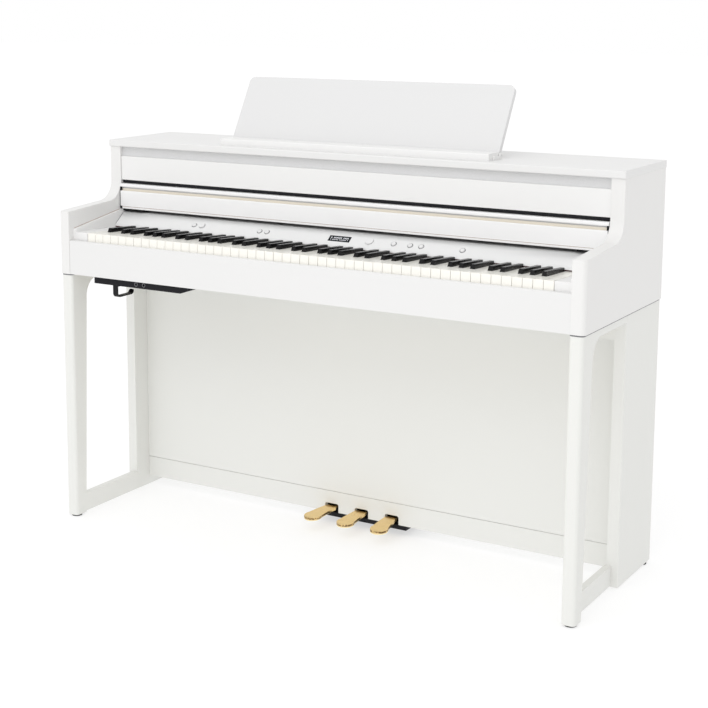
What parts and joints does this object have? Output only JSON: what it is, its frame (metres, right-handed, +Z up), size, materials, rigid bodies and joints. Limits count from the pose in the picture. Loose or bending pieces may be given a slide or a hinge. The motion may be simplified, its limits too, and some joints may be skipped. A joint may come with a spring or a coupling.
{
  "type": "upright piano",
  "caption": "Home digital piano in a white upright cabinet with a sliding key lid, folding music rest, weighted-style keys that dip and brass pedals on a slim stand.",
  "frame": {"origin": "middle of the footprint, on the floor", "axes": "+X along the keyboard towards the treble, +Y away from the player, +Z up"},
  "size_m": [1.377, 0.468, 1.1045],
  "materials": {
    "satin_white": "satin lacquered board",
    "stand_white": "satin lacquered board",
    "bare_board": "plain sealed board",
    "grille_cloth": "fine woven cloth on a lath",
    "panel_silver": "pearl silver paint",
    "button_white": "moulded, satin",
    "display_black": "smoked window",
    "key_white": "ivory feel",
    "key_black": "ebony feel",
    "felt": "pressed wool felt",
    "steel": "zinc plated",
    "board_green": "circuit board",
    "speaker_black": "paper cone and steel basket",
    "case_black": "fine textured",
    "black_steel": "black painted",
    "pedal_brass": "polished",
    "foot_rubber": "moulded rubber"
  },
  "bodies": {
    "cabinet": {"side_panel_left": "satin_white", "side_panel_right": "satin_white", "top_board": "satin_white", "speaker_grille": "grille_cloth", "upper_front_panel": "satin_white", "cabinet_back": "bare_board", "keybed": "bare_board", "key_slip": "satin_white", "key_blocks": "satin_white", "control_panel": "panel_silver", "display_window": "display_black", "key_felt": "felt", "key_frame": "steel", "circuit_board": "board_green", "speaker_box": "stand_white", "speakers": "speaker_black", "lid_rails": "steel", "jack_box": "case_black", "headphone_hook": "black_steel", "rest_ledge": "satin_white", "legs": "stand_white", "rear_boards": "stand_white", "lower_back_panel": "stand_white", "pedal_rail": "stand_white", "pedal_box": "case_black", "feet": "foot_rubber", "bolts": "steel"},
    "lid": {"lid_board": "satin_white", "lid_front": "satin_white", "lid_pads": "foot_rubber"},
    "music_rest": {"music_rest": "satin_white"},
    "rest_strut": {"rest_strut": "steel"},
    "pedal_soft": {"pedal_soft": "pedal_brass"},
    "pedal_sostenuto": {"pedal_sostenuto": "pedal_brass"},
    "pedal_damper": {"pedal_damper": "pedal_brass"},
    "power_button": {"power_button": "button_white"},
    "volume_knob": {"volume_knob": "button_white"},
    "tone_button_1": {"tone_button_1": "button_white"},
    "tone_button_2": {"tone_button_2": "button_white"},
    "value_dial": {"value_dial": "button_white"},
    "song_button": {"song_button": "button_white"},
    "record_button": {"record_button": "button_white"},
    "play_button": {"play_button": "button_white"},
    "metronome_button": {"metronome_button": "button_white"},
    "bass_white_keys": {"bass_white_keys": "key_white"},
    "bass_black_keys": {"bass_black_keys": "key_black"},
    "treble_white_keys": {"treble_white_keys": "key_white"},
    "treble_black_keys": {"treble_black_keys": "key_black"},
    "key_c4": {"key_c4": "key_white"},
    "key_c4_sharp": {"key_c4_sharp": "key_black"},
    "key_d4": {"key_d4": "key_white"},
    "key_d4_sharp": {"key_d4_sharp": "key_black"},
    "key_e4": {"key_e4": "key_white"},
    "key_f4": {"key_f4": "key_white"},
    "key_f4_sharp": {"key_f4_sharp": "key_black"},
    "key_g4": {"key_g4": "key_white"},
    "key_g4_sharp": {"key_g4_sharp": "key_black"},
    "key_a4": {"key_a4": "key_white"},
    "key_a4_sharp": {"key_a4_sharp": "key_black"},
    "key_b4": {"key_b4": "key_white"}
  },
  "joints": [
    {"name": "lid_slide", "type": "slide", "parent": "cabinet", "child": "lid", "axis": [0, -0.9893, -0.1462], "range_m": [0, 0.205]},
    {"name": "rest_fold", "type": "hinge", "parent": "cabinet", "child": "music_rest", "pos_m": [0, 0.055, 0.9508], "axis": [-1, 0, 0], "range_deg": [0, 60]},
    {"name": "strut_swing", "type": "hinge", "parent": "music_rest", "child": "rest_strut", "pos_m": [0, 0.09173, 1.01042], "axis": [1, 0, 0], "range_deg": [0, 121.4]},
    {"name": "pedal_soft_press", "type": "hinge", "parent": "cabinet", "child": "pedal_soft", "pos_m": [-0.085, 0.152, 0.041], "axis": [1, 0, 0], "range_deg": [0, 4.2], "stiffness_Nm_per_rad": 10, "springref_deg": -11.46},
    {"name": "pedal_sostenuto_press", "type": "hinge", "parent": "cabinet", "child": "pedal_sostenuto", "pos_m": [0, 0.152, 0.041], "axis": [1, 0, 0], "range_deg": [0, 4.2], "stiffness_Nm_per_rad": 10, "springref_deg": -11.46},
    {"name": "pedal_damper_press", "type": "hinge", "parent": "cabinet", "child": "pedal_damper", "pos_m": [0.085, 0.152, 0.041], "axis": [1, 0, 0], "range_deg": [0, 4.2], "stiffness_Nm_per_rad": 10, "springref_deg": -11.46},
    {"name": "key_c4_press", "type": "hinge", "parent": "cabinet", "child": "key_c4", "pos_m": [0, 0.012, 0.71], "axis": [1, 0, 0], "range_deg": [0, 2.5], "stiffness_Nm_per_rad": 0.5, "springref_deg": -28.65},
    {"name": "key_c4_sharp_press", "type": "hinge", "parent": "cabinet", "child": "key_c4_sharp", "pos_m": [0, 0.012, 0.71], "axis": [1, 0, 0], "range_deg": [0, 2.5], "stiffness_Nm_per_rad": 0.4, "springref_deg": -28.65},
    {"name": "key_d4_press", "type": "hinge", "parent": "cabinet", "child": "key_d4", "pos_m": [0, 0.012, 0.71], "axis": [1, 0, 0], "range_deg": [0, 2.5], "stiffness_Nm_per_rad": 0.5, "springref_deg": -28.65},
    {"name": "key_d4_sharp_press", "type": "hinge", "parent": "cabinet", "child": "key_d4_sharp", "pos_m": [0, 0.012, 0.71], "axis": [1, 0, 0], "range_deg": [0, 2.5], "stiffness_Nm_per_rad": 0.4, "springref_deg": -28.65},
    {"name": "key_e4_press", "type": "hinge", "parent": "cabinet", "child": "key_e4", "pos_m": [0, 0.012, 0.71], "axis": [1, 0, 0], "range_deg": [0, 2.5], "stiffness_Nm_per_rad": 0.5, "springref_deg": -28.65},
    {"name": "key_f4_press", "type": "hinge", "parent": "cabinet", "child": "key_f4", "pos_m": [0, 0.012, 0.71], "axis": [1, 0, 0], "range_deg": [0, 2.5], "stiffness_Nm_per_rad": 0.5, "springref_deg": -28.65},
    {"name": "key_f4_sharp_press", "type": "hinge", "parent": "cabinet", "child": "key_f4_sharp", "pos_m": [0, 0.012, 0.71], "axis": [1, 0, 0], "range_deg": [0, 2.5], "stiffness_Nm_per_rad": 0.4, "springref_deg": -28.65},
    {"name": "key_g4_press", "type": "hinge", "parent": "cabinet", "child": "key_g4", "pos_m": [0, 0.012, 0.71], "axis": [1, 0, 0], "range_deg": [0, 2.5], "stiffness_Nm_per_rad": 0.5, "springref_deg": -28.65},
    {"name": "key_g4_sharp_press", "type": "hinge", "parent": "cabinet", "child": "key_g4_sharp", "pos_m": [0, 0.012, 0.71], "axis": [1, 0, 0], "range_deg": [0, 2.5], "stiffness_Nm_per_rad": 0.4, "springref_deg": -28.65},
    {"name": "key_a4_press", "type": "hinge", "parent": "cabinet", "child": "key_a4", "pos_m": [0, 0.012, 0.71], "axis": [1, 0, 0], "range_deg": [0, 2.5], "stiffness_Nm_per_rad": 0.5, "springref_deg": -28.65},
    {"name": "key_a4_sharp_press", "type": "hinge", "parent": "cabinet", "child": "key_a4_sharp", "pos_m": [0, 0.012, 0.71], "axis": [1, 0, 0], "range_deg": [0, 2.5], "stiffness_Nm_per_rad": 0.4, "springref_deg": -28.65},
    {"name": "key_b4_press", "type": "hinge", "parent": "cabinet", "child": "key_b4", "pos_m": [0, 0.012, 0.71], "axis": [1, 0, 0], "range_deg": [0, 2.5], "stiffness_Nm_per_rad": 0.5, "springref_deg": -28.65},
    {"name": "bass_white_keys_press", "type": "hinge", "parent": "cabinet", "child": "bass_white_keys", "pos_m": [0, 0.012, 0.71], "axis": [1, 0, 0], "range_deg": [0, 2.5], "stiffness_Nm_per_rad": 11.5, "springref_deg": -28.65},
    {"name": "bass_black_keys_press", "type": "hinge", "parent": "cabinet", "child": "bass_black_keys", "pos_m": [0, 0.012, 0.71], "axis": [1, 0, 0], "range_deg": [0, 2.5], "stiffness_Nm_per_rad": 6.4, "springref_deg": -28.65},
    {"name": "treble_white_keys_press", "type": "hinge", "parent": "cabinet", "child": "treble_white_keys", "pos_m": [0, 0.012, 0.71], "axis": [1, 0, 0], "range_deg": [0, 2.5], "stiffness_Nm_per_rad": 11, "springref_deg": -28.65},
    {"name": "treble_black_keys_press", "type": "hinge", "parent": "cabinet", "child": "treble_black_keys", "pos_m": [0, 0.012, 0.71], "axis": [1, 0, 0], "range_deg": [0, 2.5], "stiffness_Nm_per_rad": 6, "springref_deg": -28.65},
    {"name": "power_button_press", "type": "slide", "parent": "cabinet", "child": "power_button", "axis": [0, 0.6054, -0.7959], "range_m": [0, 0.0008], "stiffness_N_per_m": 800, "springref_m": -0.0006},
    {"name": "volume_knob_turn", "type": "hinge", "parent": "cabinet", "child": "volume_knob", "pos_m": [-0.38775, -0.04572, 0.745], "axis": [0, -0.6054, 0.7959], "range_deg": [-140, 140]},
    {"name": "tone_button_1_press", "type": "slide", "parent": "cabinet", "child": "tone_button_1", "axis": [0, 0.6054, -0.7959], "range_m": [0, 0.0008], "stiffness_N_per_m": 800, "springref_m": -0.0006},
    {"name": "tone_button_2_press", "type": "slide", "parent": "cabinet", "child": "tone_button_2", "axis": [0, 0.6054, -0.7959], "range_m": [0, 0.0008], "stiffness_N_per_m": 800, "springref_m": -0.0006},
    {"name": "value_dial_turn", "type": "hinge", "parent": "cabinet", "child": "value_dial", "pos_m": [0.0846, -0.04572, 0.745], "axis": [0, -0.6054, 0.7959], "continuous": true},
    {"name": "song_button_press", "type": "slide", "parent": "cabinet", "child": "song_button", "axis": [0, 0.6054, -0.7959], "range_m": [0, 0.0008], "stiffness_N_per_m": 800, "springref_m": -0.0006},
    {"name": "record_button_press", "type": "slide", "parent": "cabinet", "child": "record_button", "axis": [0, 0.6054, -0.7959], "range_m": [0, 0.0008], "stiffness_N_per_m": 800, "springref_m": -0.0006},
    {"name": "play_button_press", "type": "slide", "parent": "cabinet", "child": "play_button", "axis": [0, 0.6054, -0.7959], "range_m": [0, 0.0008], "stiffness_N_per_m": 800, "springref_m": -0.0006},
    {"name": "metronome_button_press", "type": "slide", "parent": "cabinet", "child": "metronome_button", "axis": [0, 0.6054, -0.7959], "range_m": [0, 0.0008], "stiffness_N_per_m": 800, "springref_m": -0.0006}
  ],
  "couplings": [
    {"joint": "strut_swing", "follows": "rest_fold", "ratio": 2.02}
  ]
}
